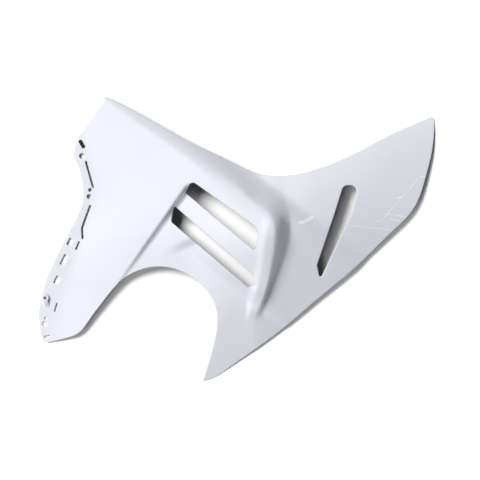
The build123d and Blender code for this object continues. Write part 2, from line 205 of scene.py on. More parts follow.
holes += [slit(line, LONG_SLIT) for line in LONG_SLITS] + [slit(line, SHORT_SLIT) for line in SHORT_SLITS]
holes += [turned_box(x, y, length, TONGUE_WIDTH, TONGUE_CORNER, TONGUE_LEAN) for x, y, length in TONGUE_SLOTS]
holes += [turned_box(GROMMET_X, GROMMET_Y, GROMMET_LENGTH, GROMMET_WIDTH, GROMMET_CORNER, GROMMET_LEAN)]
print(len(holes), "openings,", sum(map(len, holes)), "points")

# %% [markdown]
# ## The height of the sheet
# The panel is two pressed sheets that meet along a ridge. The front one rises from the flange, with a step
# down to the louvres. The rear one falls away to the wing and the tail, with a raised rim behind the
# louvres. Over the spine and the wing's upper edge both fold down. Each form is a height over the plan, so
# one function of two coordinates holds the whole surface, and the fold lines stay true wherever it is asked.

# %% Shapes to add heights with
WALL = 3.0


def ramp(s, width):
    """Half of s plus the length of (s, width): 0 far below zero, s far above it, rounded between."""
    return 0.5 * (s + np.sqrt(s * s + width * width))


def lower(a, b, width):
    """The lower of a and b, with the corner between them rounded over the width."""
    return 0.5 * (a + b - np.sqrt((a - b) ** 2 + width * width))


def ease(s, start, end):
    """Three t squared less two t cubed, where t runs from 0 at the start to 1 at the end."""
    t = np.clip((s - start) / (end - start), 0.0, 1.0)
    return t * t * (3.0 - 2.0 * t)


def beside(p, q, x, y):
    """Distance of (x, y) to the left of the line from p to q."""
    return ((q[0] - p[0]) * (y - p[1]) - (q[1] - p[1]) * (x - p[0])) / np.hypot(q[0] - p[0], q[1] - p[1])


def along(p, q, x, y):
    """Share of the way from p to q at which (x, y) stands."""
    run_x, run_y = q[0] - p[0], q[1] - p[1]
    return (run_x * (x - p[0]) + run_y * (y - p[1])) / (run_x ** 2 + run_y ** 2)


def line_at(points, y):
    """First coordinate of the smooth cubic line through the points, at the height y of the second."""
    value, place = np.array(points[::-1]).T
    slope = np.gradient(value, place)
    held = np.clip(y, place[0], place[-1])
    i = np.clip(np.searchsorted(place, held) - 1, 0, len(place) - 2)
    span = place[i + 1] - place[i]
    t = (held - place[i]) / span
    start = value[i] * (1.0 + 2.0 * t) * (1.0 - t) ** 2 + slope[i] * span * t * (1.0 - t) ** 2
    return start + value[i + 1] * t * t * (3.0 - 2.0 * t) + slope[i + 1] * span * t * t * (t - 1.0)


# %% Front sheet
KNEE_X, KNEE_Y, KNEE_ROUND, KNEE_FADE = -283.0, 98.0, 30.0, 0.8
FOLD_LEAN_LOW, FOLD_LEAN_HIGH, FLANGE_REACH = 0.345, 0.28, 20.0
FLANGE_TOE, FLANGE_TILT = -396.6, np.radians(4.0)
FRONT_SLOPE, FRONT_SLOPE_LOW, FRONT_TURN = 0.32, 0.18, (-110.0, 30.0)
FRONT_EASE, FRONT_EASE_END = 0.0002, 400.0
STEP_TOP, STEP_END = (-93.5, 116.0), (-223.5, -68.0)
STEP_DEPTH, STEP_WIDTH, STEP_WIDTH_END, STEP_TAPER, STEP_CORNER = 23.0, 18.0, 8.0, 0.85, 0.15
RECESS_REACH, RECESS_LEAD, RECESS_LAND = 115.0, (-0.05, 0.05), (2.0, 20.0)
RIM_CREST = ((20.0, 86.0), (47.0, 62.0), (61.0, 40.0), (57.0, 10.0), (52.5, -16.0), (48.5, -56.0),
             (40.0, -92.0), (31.5, -122.0), (21.5, -164.0))
RIM_LIFT, RIM_LIFT_WIDTH, RIM_LIFT_FADE = 4.5, 15.0, (20.0, 64.0)
SPINE_TIP, SPINE_ROOT, WING_TIP = (-265.5, 279.0), (50.5, 51.0), (394.5, 228.0)


def fold_at(y, rounding=KNEE_ROUND):
    """Place of the flange's fold: it leans forward both ways from the knee, where it is rounded."""
    lean = np.where(y < KNEE_Y, FOLD_LEAN_LOW, FOLD_LEAN_HIGH)
    return KNEE_X - lean * (np.sqrt((y - KNEE_Y) ** 2 + rounding ** 2) - rounding)


def flange_lift(x):
    """Height of the flange's underside, which leans up from the panel's front edge."""
    return np.tan(FLANGE_TILT) * (x - FLANGE_TOE)


def front_height(x, y):
    """Flange height plus slope times distance behind the fold, less the recess, with a lift to the rim."""
    d = x - fold_at(y, KNEE_ROUND + KNEE_FADE * np.maximum(x - KNEE_X, 0.0))
    eased = np.minimum(d, FRONT_EASE_END)
    slope = FRONT_SLOPE_LOW + (FRONT_SLOPE - FRONT_SLOPE_LOW) * ease(y, *FRONT_TURN)
    rise = slope * d - FRONT_EASE * eased * (np.abs(eased) + 2.0 * (d - eased))
    t = along(STEP_TOP, STEP_END, x, y)
    share = np.clip(t, 0.0, 1.0)
    into = -beside(STEP_END, STEP_TOP, x, y)
    depth = STEP_DEPTH * ease(t, *RECESS_LEAD) * (1.0 - STEP_TAPER * share)
    width = STEP_WIDTH + (STEP_WIDTH_END - STEP_WIDTH) * share
    wall = 1.0 - (1.0 - np.minimum(ramp(into / width, STEP_CORNER), 1.0)) ** 2
    recess = depth * wall * np.exp(-((np.maximum(into, 0.0) / RECESS_REACH) ** 2))
    recess = recess * ease(-beside(UPPER_LOUVRE[1], UPPER_LOUVRE[2], x, y), *RECESS_LAND)
    up = np.clip(1.0 + (x - line_at(RIM_CREST, y)) / RIM_LIFT_WIDTH, 0.0, 2.0)
    return WALL + flange_lift(x) + rise - recess + RIM_LIFT * up * up * (1.0 - ease(y, *RIM_LIFT_FADE))


# %% Rear sheet with its rim
CROWN_X, CROWN_Y, CROWN_Z, CROWN_ROUND = 20.0, 55.0, 121.0, 50.0
TAIL_SLOPE_X, REAR_SLOPE_X, REAR_SLOPE_Y, TAIL_ROUND = 0.12, 0.25, 0.36, 60.0
RIM_EDGE = ((34.5, 84.0), (60.5, 52.0), (73.0, 18.0), (73.0, 2.0), (67.5, -50.0), (60.0, -94.0),
            (48.0, -130.0), (36.0, -150.0), (25.0, -166.0))
RIM_FOOT = ((96.0, 98.0), (106.0, 54.0), (109.0, 30.0), (107.0, 6.0), (85.0, -62.0), (70.0, -94.0),
            (57.0, -130.0), (54.0, -150.0), (52.0, -166.0))
RIM_INNER = ((38.5, -46.0), (31.5, -70.0), (25.5, -94.0), (21.5, -132.0), (19.5, -166.0))
RIM_RISE = ((0.0, 108.0), (16.0, 66.0), (37.0, 30.0), (40.0, 6.0), (29.0, -62.0), (10.0, -128.0),
            (4.0, -150.0), (0.0, -168.0))
RIM_TILT, RIM_BLEND, RIM_FADE = 0.06, 6.0, (-172.0, -140.0)
RIM_FAIRING, SHELF_BLEND = 2.0, (-22.0, 6.0)


def flats(x, y):
    """Two planes that meet in a soft crown, the rear one turning down more behind the rim."""
    tail = CROWN_Z - TAIL_SLOPE_X * (x - CROWN_X) - REAR_SLOPE_Y * ramp(CROWN_Y - y, CROWN_ROUND)
    return tail - (REAR_SLOPE_X - TAIL_SLOPE_X) * ramp(x - CROWN_X, TAIL_ROUND)


def rear_height(x, y):
    """The flats and the rim on them: level with the front sheet at its crest, with a steep rear flank."""
    edge_x, foot_x = line_at(RIM_EDGE, y), line_at(RIM_FOOT, y)
    inner_x, crest_x = line_at(RIM_INNER, y), line_at(RIM_CREST, y)
    crest = lower(front_height(crest_x, y), flats(crest_x, y) + line_at(RIM_RISE, y), RIM_BLEND)
    proud = ramp(crest - RIM_TILT * (x - crest_x) - flats(x, y), RIM_FAIRING)
    proud = proud * (1.0 - ease(x, edge_x, foot_x)) * ease(y, *RIM_FADE)
    front_flank = np.clip((x - inner_x) / np.maximum(crest_x - inner_x, 1.0), 0.0, 1.0)
    shelf = 1.0 - ease(-beside(LOWER_LOUVRE[0], LOWER_LOUVRE[3], x, y), *SHELF_BLEND)
    return flats(x, y) + proud * np.maximum(front_flank, shelf)


# %% Whole sheet
RIDGE_ROUND, RIDGE_LOW, RIDGE_HIGH = 4.1, 36.0, 60.0
RIDGE_GROWS_LOW, RIDGE_GROWS_HIGH, RIDGE_GROWS_BACK = (-6.0, 24.0), (5.0, 60.0), (-290.0, -150.0)
SWAGE_START, SWAGE_END, SWAGE_DEPTH, SWAGE_REACH = (-67.5, 7.0), (-153.5, -28.0), 10.0, 60.0
SWAGE_LIP, SWAGE_LEAD, SWAGE_FADE = (-8.0, 14.0), (-18.0, -2.0), (0.25, 1.05)
SPINE_SLOPE_TIP, SPINE_SLOPE_ROOT, WING_SLOPE, FOLD_BLEND = 0.85, 0.8, 0.5, 24.0
SPINE_ROUND, WING_ROUND, ROUND_GROWS = 5.0, 34.0, (-100.0, 120.0)
FLANGE_ROUND = 3.0
THIN = 0.8


def outer_height(x, y):
    """The lower of the two sheets, less the swage below the louvres and the fold over spine and wing."""
    below = -beside(LOWER_LOUVRE[0], LOWER_LOUVRE[3], x, y)
    low = ease(below, *RIDGE_GROWS_LOW) * ease(x, *RIDGE_GROWS_BACK)
    high = ease(beside(SPINE_TIP, SPINE_ROOT, x, y), *RIDGE_GROWS_HIGH)
    ridge = RIDGE_ROUND + (RIDGE_LOW - RIDGE_ROUND) * low + (RIDGE_HIGH - RIDGE_ROUND) * high
    sheet = lower(front_height(x, y), rear_height(x, y), ridge)
    into, share = beside(SWAGE_START, SWAGE_END, x, y), along(SWAGE_START, SWAGE_END, x, y)
    swage = SWAGE_DEPTH * ease(into, *SWAGE_LIP) * np.exp(-((np.maximum(into, 0.0) / SWAGE_REACH) ** 2))
    swage = swage * (1.0 - ease(share, *SWAGE_FADE)) * ease(below, *SWAGE_LEAD)
    at = np.clip(along(SPINE_TIP, SPINE_ROOT, x, y), 0.0, 1.0)
    spine_slope = SPINE_SLOPE_TIP + (SPINE_SLOPE_ROOT - SPINE_SLOPE_TIP) * at
    over_spine = spine_slope * beside(SPINE_TIP, SPINE_ROOT, x, y)
    over_wing = WING_SLOPE * beside(SPINE_ROOT, WING_TIP, x, y)
    round_off = SPINE_ROUND + (WING_ROUND - SPINE_ROUND) * ease(x, *ROUND_GROWS)
    return sheet - swage - ramp(lower(over_spine, over_wing, FOLD_BLEND), round_off)


def inner_height(x, y):
    """Outer height less the wall measured square to the sheet, and never below the floor."""
    h = 0.5
    slope_x = (outer_height(x + h, y) - outer_height(x - h, y)) / (2.0 * h)
    slope_y = (outer_height(x, y + h) - outer_height(x, y - h)) / (2.0 * h)
    return np.maximum(outer_height(x, y) - WALL * np.sqrt(1.0 + slope_x ** 2 + slope_y ** 2), 0.0)


def face_height(x, y):
    """Outer height, or in front of the fold the higher of it and the flat flange, rounded at the fold."""
    sheet, flat = outer_height(x, y), WALL + flange_lift(x)
    apart = np.maximum(FLANGE_ROUND - np.abs(sheet - flat), 0.0)
    flange = np.maximum(sheet, flat) + apart ** 2 / (4.0 * FLANGE_ROUND)
    return np.where(x < fold_at(y) + FLANGE_REACH, flange, sheet)


print("height at the crown", round(float(outer_height(CROWN_X, CROWN_Y)), 1), "mm")

# %% [markdown]
# ## The moulded shell
# A real panel has a front and a back skin with a rounded edge between them. Here a grid of points is laid
# over the plan, with its lines along the spine so that the sharp folds follow them. The edges of the outline
# and of the openings get four close rings for their rounding. A constrained triangulation joins all of it,
# which keeps every opening's line exact, and the two skins are the same triangles at two heights.

# %% Points over the plan
LIP, BIG_LIP, AIR_OPENINGS = 1.2, 1.8, 3
LIP_ANGLES = np.radians([0.0, 30.0, 60.0, 90.0])
GRID_GAP, MITRE, CHUNK = 1.3, 1.6, 4_000_000
GRID_ALONG = ((-400.0, 3.0), (-164.0, 1.5), (-130.0, 3.0), (284.0, 3.0))
GRID_ACROSS = ((-480.0, 3.0), (-15.0, 1.5), (12.0, 3.0), (380.0, 3.0))


def grid_lines(bands):
    """Places of the grid's lines: each band runs from its start to the next one's at its own pitch."""
    return np.concatenate([np.arange(a[0], b[0], a[1]) for a, b in zip(bands, bands[1:])])


def inset(loop, is_hole, distance):
    """The loop moved into the material, square to its sides, by the distance, with sharp mitres cut short."""
    area = np.sum(loop[:, 0] * np.roll(loop[:, 1], -1) - loop[:, 1] * np.roll(loop[:, 0], -1))
    side = unit(np.roll(loop, -1, axis=0) - loop)
    square = np.stack([-side[:, 1], side[:, 0]], axis=-1) * (1.0 if (area > 0.0) != is_hole else -1.0)
    middle = unit(square + np.roll(square, 1, axis=0))
    reach = np.minimum(1.0 / (middle * square).sum(1), MITRE)
    return loop + distance * reach[:, None] * middle


def inside(loop, p):
    """True where a ray to the right from the point crosses the loop an odd number of times."""
    a, b = loop, np.roll(loop, -1, axis=0)
    low, high = np.minimum(loop.min(0), b.min(0)), np.maximum(loop.max(0), b.max(0))
    near = np.flatnonzero(((p >= low) & (p <= high)).all(1))
    found = np.zeros(len(p), bool)
    for part in np.array_split(near, max(1, len(near) * len(loop) // CHUNK)):
        y = p[part, 1:2]
        spans = (a[:, 1] > y) != (b[:, 1] > y)
        rise = np.where(b[:, 1] == a[:, 1], 1.0, b[:, 1] - a[:, 1])
        cross = a[:, 0] + (y - a[:, 1]) / rise * (b[:, 0] - a[:, 0])
        found[part] = (spans & (p[part, 0:1] < cross)).sum(1) % 2 == 1
    return found


def in_panel(p):
    """True for points within the outline and in no opening."""
    return inside(edge, p) & ~np.any([inside(hole, p) for hole in holes], axis=0)


def nearest(p, q):
    """Distance of each point of p to the nearest point of q."""
    parts = np.array_split(p, max(1, len(p) * len(q) // CHUNK))
    return np.concatenate([np.sqrt(((part[:, None] - q) ** 2).sum(-1).min(1)) for part in parts])


loops = [(edge, False)] + [(hole, True) for hole in holes]
lips = [LIP] + [BIG_LIP] * AIR_OPENINGS + [LIP] * (len(holes) - AIR_OPENINGS)
rings = [inset(loop, is_hole, lip * (1.0 - np.cos(angle)))
         for (loop, is_hole), lip in zip(loops, lips) for angle in LIP_ANGLES]
drop = np.concatenate([np.full(len(loop), lip * (1.0 - np.sin(angle)))
                       for (loop, _), lip in zip(loops, lips) for angle in LIP_ANGLES])
spine = unit(np.array(SPINE_ROOT) - SPINE_TIP)
grid_u, grid_v = np.meshgrid(grid_lines(GRID_ALONG), grid_lines(GRID_ACROSS), indexing="ij")
grid = SPINE_ROOT + grid_u.reshape(-1, 1) * spine + grid_v.reshape(-1, 1) * np.array([-spine[1], spine[0]])
grid = grid[in_panel(grid)]
grid = grid[nearest(grid, np.concatenate(rings)) > GRID_GAP]
plan = np.concatenate(rings + [grid])
drop = np.concatenate([drop, np.zeros(len(grid))])
print(len(plan), "points in the plan")

# %% Triangles between them
ring_start = np.cumsum([0] + [len(ring) for ring in rings])
ties = [np.stack([np.arange(n), (np.arange(n) + 1) % n], axis=-1) + start
        for n, start in zip(map(len, rings), ring_start)]
found = geometry.delaunay_2d_cdt([Vector(p) for p in plan.tolist()], np.concatenate(ties).tolist(), [], 0,
                                 1e-6, True)
plan_of = np.array([source[0] if source else -1 for source in found[3]])
assert (plan_of >= 0).all(), "the loops cross each other"
triangles = plan_of[np.array(found[2])]
triangles = triangles[in_panel(plan[triangles].mean(1))]
print(len(triangles), "triangles in each skin")


# %% Two skins and the wall between them
def new_piece(name, points, faces):
    """A smooth mesh object at the origin, from points in millimetres, that rides on the panel's body."""
    mesh = bpy.data.meshes.new(name)
    mesh.from_pydata((np.asarray(points) * METRE).tolist(), [], [list(face) for face in faces])
    mesh.shade_smooth()
    mesh.set_sharp_from_angle(angle=np.radians(40.0))
    piece = bpy.data.objects.new(name, mesh)
    bpy.context.scene.collection.objects.link(piece)
    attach(piece, "root")
    return piece


x, y = plan.T
face_z = face_height(x, y)
back_z = np.where(x < fold_at(y), flange_lift(x), np.minimum(inner_height(x, y), face_z - THIN - BIG_LIP))
back_z = np.maximum(back_z, 0.0)
face_z = np.maximum(face_z - drop, back_z + 0.5 * THIN)
shell_points = np.concatenate([np.column_stack([plan, face_z]), np.column_stack([plan, back_z])])
sides = np.concatenate([triangles[:, [0, 1]], triangles[:, [1, 2]], triangles[:, [2, 0]]])
keys = np.sort(sides, axis=1) @ np.array([len(plan), 1])
_, first, count = np.unique(keys, return_index=True, return_counts=True)
rim = sides[first[count == 1]]
below = len(plan)
walls = np.concatenate([np.column_stack([rim[:, 1], rim[:, 0], rim[:, 0] + below]),
                        np.column_stack([rim[:, 1], rim[:, 0] + below, rim[:, 1] + below])])
shell_faces = np.concatenate([triangles, triangles[:, ::-1] + below, walls])
panel = new_piece("panel_shell", shell_points, shell_faces.tolist())
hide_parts("fairing_panel")
bare = panel.data.attributes.new("bare", "FLOAT", "POINT")
bare.data.foreach_set("value", np.repeat([0.0, 1.0], below))
print("panel_shell", len(shell_faces), "triangles")

# %% [markdown]
# ## Boss and gusset
# Near the foot of the flange a raised ring takes a screw, and a small web steadies it. The ring is a profile
# turned about its axis, and the web is a rounded section carried down a slope. Both sink a little into the
# flange, as one moulding would.

# %% The turned ring
BOSS_RADIUS, BOSS_TOP, BOSS_EDGE, BOSS_FOOT = 7.0, 11.0, 0.6, 1.2
SINK, MID_ROUND, TURN_STEPS = 0.5, 0.3, 48


def closed_grid(rows, columns):
    """Quads between the points of a grid that closes on itself both ways."""
    i, j = np.meshgrid(np.arange(rows), np.arange(columns), indexing="ij")
    i_on, j_on = (i + 1) % rows, (j + 1) % columns
    corners = [i * columns + j, i_on * columns + j, i_on * columns + j_on, i * columns + j_on]
    return np.stack(corners, axis=-1).reshape(-1, 4)


bore, mid_edge, mid_foot = 0.5 * BOSS_BORE, MID_ROUND * BOSS_EDGE, MID_ROUND * BOSS_FOOT
profile = np.array([(bore, WALL - SINK), (bore, BOSS_TOP - BOSS_EDGE), (bore + mid_edge, BOSS_TOP - mid_edge),
                    (bore + BOSS_EDGE, BOSS_TOP), (BOSS_RADIUS - BOSS_EDGE, BOSS_TOP),
                    (BOSS_RADIUS - mid_edge, BOSS_TOP - mid_edge),
                    (BOSS_RADIUS, BOSS_TOP - BOSS_EDGE), (BOSS_RADIUS, WALL + BOSS_FOOT),
                    (BOSS_RADIUS + mid_foot, WALL + mid_foot), (BOSS_RADIUS + BOSS_FOOT, WALL),
                    (BOSS_RADIUS + BOSS_FOOT, WALL - SINK)])
turn = np.linspace(0.0, 2.0 * np.pi, TURN_STEPS, endpoint=False)[:, None]
ring_points = np.stack([BOSS_X + profile[:, 0] * np.cos(turn), BOSS_Y + profile[:, 0] * np.sin(turn),
                        profile[:, 1] + 0.0 * turn], axis=-1)
ring_points[..., 2] += flange_lift(ring_points[..., 0])
boss = new_piece("screw_boss", ring_points.reshape(-1, 3), closed_grid(TURN_STEPS, len(profile)).tolist())
print("screw_boss", len(boss.data.polygons), "faces")

# %% The web
WEB_LEAN, WEB_WIDTH, WEB_RUN, WEB_HEIGHT, WEB_ROUND = -76.0, 9.0, 19.0, 6.8, 1.2
WEB_STEPS = 12
s = np.linspace(0.7 * BOSS_RADIUS, WEB_RUN, WEB_STEPS)[:, None]
top = WALL + WEB_HEIGHT * np.clip((WEB_RUN - s) / (WEB_RUN - BOSS_RADIUS), 0.0, 1.0)
round_by = np.minimum(WEB_ROUND, 0.6 * (top - WALL) + 0.1)
half_turn = np.linspace(0.0, 0.5 * np.pi, 5)
right = np.stack([0.5 * WEB_WIDTH - round_by * (1.0 - np.cos(half_turn)),
                  top - round_by * (1.0 - np.sin(half_turn))], axis=-1)
left = right[:, ::-1] * (-1.0, 1.0)
foot = np.full((WEB_STEPS, 1, 2), 0.5 * WEB_WIDTH) * (1.0, 0.0) + (0.0, WALL - SINK)
section = np.concatenate([foot, right, left, foot * (-1.0, 1.0)], axis=1)
lean = np.radians(WEB_LEAN)
web_points = np.stack([BOSS_X + s * np.cos(lean) - section[..., 0] * np.sin(lean),
                       BOSS_Y + s * np.sin(lean) + section[..., 0] * np.cos(lean), section[..., 1]], axis=-1)
web_points[..., 2] += flange_lift(web_points[..., 0])
columns = section.shape[1]
web_faces = closed_grid(WEB_STEPS, columns)[:(WEB_STEPS - 1) * columns, ::-1].tolist()
web_faces += [list(range(columns)), list(range(columns * WEB_STEPS - 1, columns * (WEB_STEPS - 1) - 1, -1))]
web = new_piece("boss_web", web_points.reshape(-1, 3), web_faces)
print("boss_web", len(web.data.polygons), "faces")

# %% [markdown]
# ## Rubber grommet
# A black rubber bush sits in the uppermost slot of the flange and takes a tongue of the next cowl. It is one
# closed section carried round a rounded rectangle: the lip above the flange, the neck in the slot and the
# narrow mouth through the middle. Each point of the section has its own half length, half width and corner.

# %% The bush
LIP_OUT, LIP_HEIGHT, SEAT, NECK_GAP, FOOT = 1.4, 1.2, 0.02, 0.15, 0.3
MOUTH_LENGTH, MOUTH_WIDTH, MOUTH_EDGE, LIP_EDGE = 9.0, 1.6, 0.4, 0.5
mouth = np.array([0.5 * MOUTH_LENGTH, 0.5 * MOUTH_WIDTH, 0.5 * MOUTH_WIDTH])
neck = np.array([0.5 * GROMMET_LENGTH, 0.5 * GROMMET_WIDTH, GROMMET_CORNER]) - NECK_GAP
lip = neck + NECK_GAP + LIP_OUT
seat, crest = WALL + SEAT, WALL + SEAT + LIP_HEIGHT
mid_mouth, mid_lip = MID_ROUND * MOUTH_EDGE, MID_ROUND * LIP_EDGE
bush_section = np.array([(*shape, z) for shape, z in (
    (mouth, FOOT), (mouth, crest - MOUTH_EDGE), (mouth + mid_mouth, crest - mid_mouth),
    (mouth + MOUTH_EDGE, crest), (lip - LIP_EDGE, crest), (lip - mid_lip, crest - mid_lip),
    (lip, crest - LIP_EDGE), (lip, seat), (neck, seat), (neck, FOOT))])
angle = (np.arange(TURN_STEPS) + 0.5) * 2.0 * np.pi / TURN_STEPS
half_long, half_wide, corner, level = bush_section.T[:, :, None]
long_way = np.sign(np.cos(angle)) * (half_long - corner) + corner * np.cos(angle)
wide_way = np.sign(np.sin(angle)) * (half_wide - corner) + corner * np.sin(angle)
tilt = np.radians(GROMMET_LEAN)
bush_points = np.stack([GROMMET_X + long_way * np.cos(tilt) - wide_way * np.sin(tilt),
                        GROMMET_Y + long_way * np.sin(tilt) + wide_way * np.cos(tilt),
                        level + 0.0 * angle], axis=-1)
bush_points[..., 2] += flange_lift(bush_points[..., 0])
bush_faces = closed_grid(*bush_points.shape[:2])[:, ::-1].tolist()
bush = new_piece("rubber_bush", bush_points.reshape(-1, 3), bush_faces)
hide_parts("slot_grommet")
print("rubber_bush", len(bush.data.polygons), "faces")

# %% [markdown]
# ## Shader arithmetic
# A finish is a picture worked out from the place on the surface, so it reads best as arithmetic. One small
# class wraps the output of a node: plus, minus and times on it add Math nodes, and its node method adds a
# node of any kind, settings first and sockets after. The other methods are short names for common ones.


# %% One socket
class Socket:
    """An output of a node in a material's tree, with arithmetic."""

    def __init__(self, tree, output=None):
        self.tree = tree
        self.output = output

    def node(self, kind, settings=None, sockets=None, output=0):
        """Adds a node, sets it up, links or fills its sockets, and wraps one of its outputs."""
        made = self.tree.nodes.new(kind)
        for name, value in (settings or {}).items():
            setattr(made, name, value)
        for name, value in (sockets or {}).items():
            if isinstance(value, Socket):
                self.tree.links.new(value.output, made.inputs[name])
            else:
                made.inputs[name].default_value = value
        return Socket(self.tree, made.outputs[output])

    def math(self, operation, *values, clamp=False):
        """One Math node on the values."""
        settings = {"operation": operation, "use_clamp": clamp}
        return self.node("ShaderNodeMath", settings, dict(enumerate(values)))

    def __add__(self, other):
        return self.math("ADD", self, other)

    def __sub__(self, other):
        return self.math("SUBTRACT", self, other)

    def __rsub__(self, other):
        return self.math("SUBTRACT", other, self)

    def __mul__(self, other):
        return self.math("MULTIPLY", self, other)

    __radd__ = __add__
    __rmul__ = __mul__

    def step(self, start, end):
        """0 below the start, 1 above the end, eased between."""
        return self.node("ShaderNodeMapRange", {"interpolation_type": "SMOOTHSTEP"},
                         {"Value": self, "From Min": start, "From Max": end})

    def noise(self, scale, detail=2.0):
        """Even noise about a half at this many cells in a metre; self is the place."""
        return self.node("ShaderNodeTexNoise", {}, {"Vector": self, "Scale": scale, "Detail": detail})

    def mixed(self, first, second):
        """The first colour where self is 0, the second where it is 1."""
        return self.node("ShaderNodeMix", {"data_type": "RGBA"}, {0: self, 6: first, 7: second}, 2)


def new_material(name):
    """A material with an empty tree but for its surface: gives it, a bare socket and the surface node."""
    material = bpy.data.materials.new(name)
    material.use_nodes = True
    return material, Socket(material.node_tree), material.node_tree.nodes["Principled BSDF"]


def feed(tree, surface, **sockets):
    """Links sockets to the surface's inputs, whose names have underscores for spaces here."""
    for name, value in sockets.items():
        tree.links.new(value.output, surface.inputs[name.replace("_", " ")])


# %% [markdown]
# ## White paint
# The outer face has a cool white paint under clear lacquer: bright and smooth, with the faint waviness of
# sprayed paint, a little dust and a few scratches on the wing. Near-white lines also paint light onto it:
# streaks of painted sheen on the wing, and painted highlights by the rim that stand for glints on the gloss.
# The inner face is bare dark plastic, grained by the mould. The shell carries an attribute that is 0 on its
# face and 1 on its back, and it mixes the two.

# %% The paint
PAINT, PAINT_DULL = (0.797, 0.81, 0.864, 1.0), (0.772, 0.785, 0.839, 1.0)
PLASTIC = (0.035, 0.036, 0.04, 1.0)
# Near white of the scratches, and of the painted highlights and the painted sheen.
SCRATCH_AND_HIGHLIGHT_WHITE = (0.97, 0.97, 0.97, 1.0)
CLOUDS, PATCHES, DUST, PEEL, MOULD_GRAIN = 9.0, 90.0, 900.0, 170.0, 1500.0
BUMP_HEIGHT = 0.0001
# Width in mm, then the points of each line. The thin lines on the wing are scratches. The two last lines are
# painted sheen on the wing. The wide marks and dots by the rim, at x 98 to 150 mm, are painted highlights
# that stand for glints.
SCRATCHES_AND_PAINTED_HIGHLIGHTS = ((0.9, (220.5, 26.0), (246.5, 24.8), (276.5, 22.0), (308.5, 18.0)),
             (1.1, (282.5, 36.0), (290.5, 38.8), (314.5, 66.0), (327.7, 82.0), (340.5, 95.0), (360.5, 119.0)),
             (1.8, (319.5, 81.4), (329.5, 85.0)), (1.0, (366.5, 123.4), (377.5, 126.0)),
             (1.2, (294.5, 168.0), (302.5, 172.0)), (1.0, (279.5, 36.4), (286.5, 35.6)),
             (4.4, (124.5, 32.0), (129.5, 35.5)), (5.0, (132.5, 33.2), (140.5, 38.0), (150.0, 43.0)),
             (1.6, (98.5, 34.0), (101.5, 36.0)), (1.8, (106.5, 38.0), (108.5, 38.0)),
             (1.3, (108.5, 26.0), (108.0, 18.0)), (1.6, (302.5, 50.0), (318.5, 48.0), (336.5, 44.0)),
             (1.4, (306.5, 40.0), (324.5, 36.0)))


# Draws a scratch and a painted highlight in the same way.
def scratch_and_highlight_line(place, width, start, end):
    """1 on the straight line from start to end, in millimetres, fading out at the width to each side."""
    axis = (*np.subtract(end, start) * METRE, 0.0)
    vector = "ShaderNodeVectorMath"
    to_start = place.node(vector, {"operation": "SUBTRACT"},
                          {0: place, 1: (start[0] * METRE, start[1] * METRE, 0.0)})
    flat = place.node(vector, {"operation": "MULTIPLY"}, {0: to_start, 1: (1.0, 1.0, 0.0)})
    reach = place.node(vector, {"operation": "DOT_PRODUCT"}, {0: flat, 1: axis}, "Value")
    share = reach.math("MULTIPLY", reach, float(1.0 / np.dot(axis, axis)), clamp=True)
    foot = place.node(vector, {"operation": "SCALE"}, {0: axis, "Scale": share})
    off = place.node(vector, {"operation": "DISTANCE"}, {0: flat, 1: foot}, "Value")
    return 1.0 - off.step(0.3 * width * METRE, width * METRE)


white_paint, bench, surface = new_material("white_paint")
place = bench.node("ShaderNodeTexCoord", output="Object")
is_bare = bench.node("ShaderNodeAttribute", {"attribute_name": "bare"}, output="Fac").step(0.35, 0.75)
cloudy = place.noise(CLOUDS, 4.0)
lines = [(width, *pair) for width, *points in SCRATCHES_AND_PAINTED_HIGHLIGHTS for pair in zip(points, points[1:])]
scratches_and_highlights = sum((scratch_and_highlight_line(place, *line) for line in lines), bench.math("ADD", 0.0, 0.0))
patchy = 0.55 + 0.45 * place.noise(PATCHES).step(0.38, 0.55)
scratches_and_highlights = scratches_and_highlights.math("MULTIPLY", scratches_and_highlights, patchy, clamp=True)
painted = cloudy.step(0.3, 0.7).mixed(PAINT_DULL, PAINT)
# Scratches, painted highlights and painted sheen, in near white over the paint.
painted = scratches_and_highlights.mixed(painted, SCRATCH_AND_HIGHLIGHT_WHITE)
dust = place.noise(DUST, 3.0).step(0.66, 0.76) * cloudy.step(0.45, 0.7)
feed(bench.tree, surface, Base_Color=is_bare.mixed(painted, PLASTIC),
     Roughness=0.11 + 0.06 * cloudy + 0.15 * dust + 0.3 * scratches_and_highlights + 0.38 * is_bare,
     Coat_Weight=1.0 - is_bare)
surface.inputs["Coat Roughness"].default_value = 0.04
peel = place.noise(PEEL) * (1.0 - is_bare) + place.noise(MOULD_GRAIN, 3.0) * is_bare * 2.0
bump = bench.node("ShaderNodeBump", {}, {"Height": peel, "Strength": 0.2, "Distance": BUMP_HEIGHT})
feed(bench.tree, surface, Normal=bump)
print("white_paint", len(white_paint.node_tree.nodes), "nodes")

# %% [markdown]
# ## Black rubber
# The bush is matt rubber. Fine grain breaks up its dull shine, and a bloom of grey lies where it is handled.

# %% The rubber
RUBBER, RUBBER_BLOOM = (0.018, 0.018, 0.02, 1.0), (0.045, 0.045, 0.048, 1.0)
BLOOM, RUBBER_GRAIN = 300.0, 4000.0
black_rubber, bench, surface = new_material("black_rubber")
place = bench.node("ShaderNodeTexCoord", output="Object")
bloom = place.noise(BLOOM, 4.0)
grain = {"Height": place.noise(RUBBER_GRAIN), "Strength": 0.3, "Distance": BUMP_HEIGHT}
feed(bench.tree, surface, Base_Color=bloom.step(0.4, 0.75).mixed(RUBBER, RUBBER_BLOOM),
     Roughness=0.55 + 0.25 * bloom, Normal=bench.node("ShaderNodeBump", {}, grain))
for piece, material in ((panel, white_paint), (boss, white_paint), (web, white_paint), (bush, black_rubber)):
    piece.data.materials.append(material)
print("black_rubber", len(black_rubber.node_tree.nodes), "nodes")

